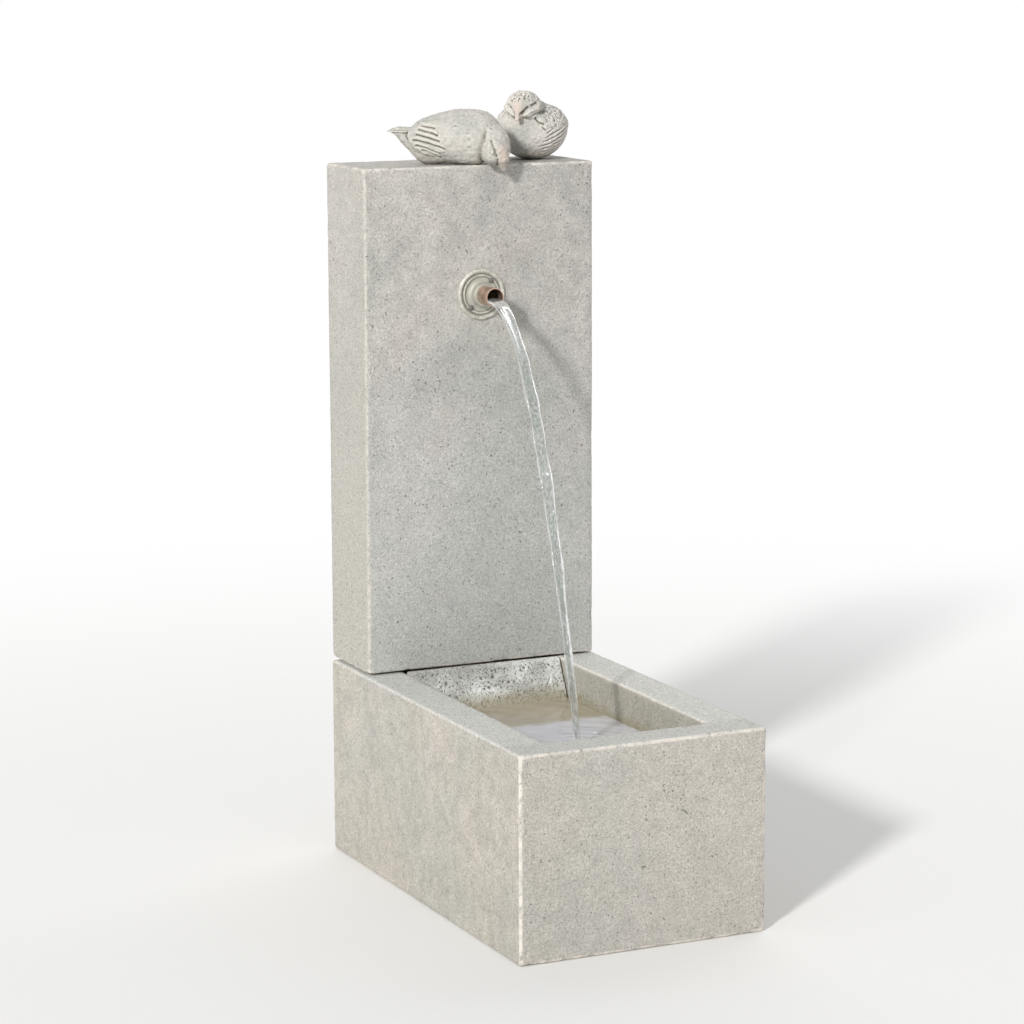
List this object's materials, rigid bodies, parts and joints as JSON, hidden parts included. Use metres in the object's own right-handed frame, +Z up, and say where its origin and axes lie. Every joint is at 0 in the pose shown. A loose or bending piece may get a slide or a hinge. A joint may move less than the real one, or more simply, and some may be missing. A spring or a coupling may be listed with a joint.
{
  "type": "garden wall fountain",
  "caption": "Cast stone wall fountain: oblong basin, tall slab column with a copper spout in a round rosette, paired birds on top and a hidden pump behind a leaning slab.",
  "frame": {"origin": "on the ground at the middle of the whole outline, under the basin", "axes": "+X to the right as one faces the fountain, +Y towards the wall behind it, +Z up"},
  "size_m": [0.394, 0.698, 1.191],
  "materials": {
    "basin_stone": "cast, pitted, matt",
    "column_stone": "cast, fine pits, matt",
    "slab_stone": "open-textured, wet at the foot",
    "bird_stone": "cast, washed in the hollows",
    "pad_rubber": "matt",
    "stainless": "brushed",
    "aged_bronze": "grey-green patina",
    "nylon": "moulded",
    "copper": "worn copper with brown patina",
    "brass": "turned",
    "seal_rubber": "matt",
    "clear_vinyl": "clear, slightly cloudy",
    "pump_black": "moulded",
    "impeller_white": "moulded",
    "magnet": "ground ferrite",
    "ceramic_shaft": "polished",
    "dial_grey": "moulded",
    "foot_rubber": "matt",
    "bung_rubber": "matt",
    "water": "clear, moving"
  },
  "bodies": {
    "fountain": {"basin": "basin_stone", "column": "column_stone", "left_bird": "bird_stone", "right_bird": "bird_stone", "setting_pads": "pad_rubber", "bird_dowels": "stainless", "rosette": "aged_bronze", "rosette_screws": "stainless", "wall_plugs": "nylon", "spout_tube": "copper", "spout_sleeve": "brass", "spout_washer": "seal_rubber", "spout_nut": "brass", "spout_elbow": "brass", "supply_tube": "clear_vinyl", "hose_clamps": "stainless", "pump_housing": "pump_black", "pump_volute": "pump_black", "volute_seal": "seal_rubber", "rotor_shaft": "ceramic_shaft", "shaft_bushes": "seal_rubber", "outlet_adapter": "pump_black", "suction_feet": "foot_rubber", "cord_gland": "seal_rubber"},
    "cover_slab": {"pump_cover_slab": "slab_stone"},
    "rotor": {"impeller": "impeller_white", "rotor_magnet": "magnet"},
    "strainer": {"strainer_cover": "pump_black"},
    "dial": {"flow_dial": "dial_grey"},
    "bung": {"cord_bung": "bung_rubber"}
  },
  "joints": [
    {"name": "slab_tilt", "type": "hinge", "parent": "fountain", "child": "cover_slab", "pos_m": [0, 0.06979, 0.059], "axis": [1, 0, 0], "range_deg": [0, 60]},
    {"name": "rotor_spin", "type": "hinge", "parent": "fountain", "child": "rotor", "pos_m": [0.026, 0.245, 0.089], "axis": [1, 0, 0], "continuous": true},
    {"name": "strainer_pull", "type": "slide", "parent": "fountain", "child": "strainer", "axis": [-1, 0, 0], "range_m": [0, 0.045]},
    {"name": "flow_dial_turn", "type": "hinge", "parent": "strainer", "child": "dial", "pos_m": [-0.018, 0.245, 0.089], "axis": [-1, 0, 0], "range_deg": [0, 90]},
    {"name": "bung_pull", "type": "slide", "parent": "fountain", "child": "bung", "axis": [0, -1, 0], "range_m": [0, 0.05]}
  ]
}
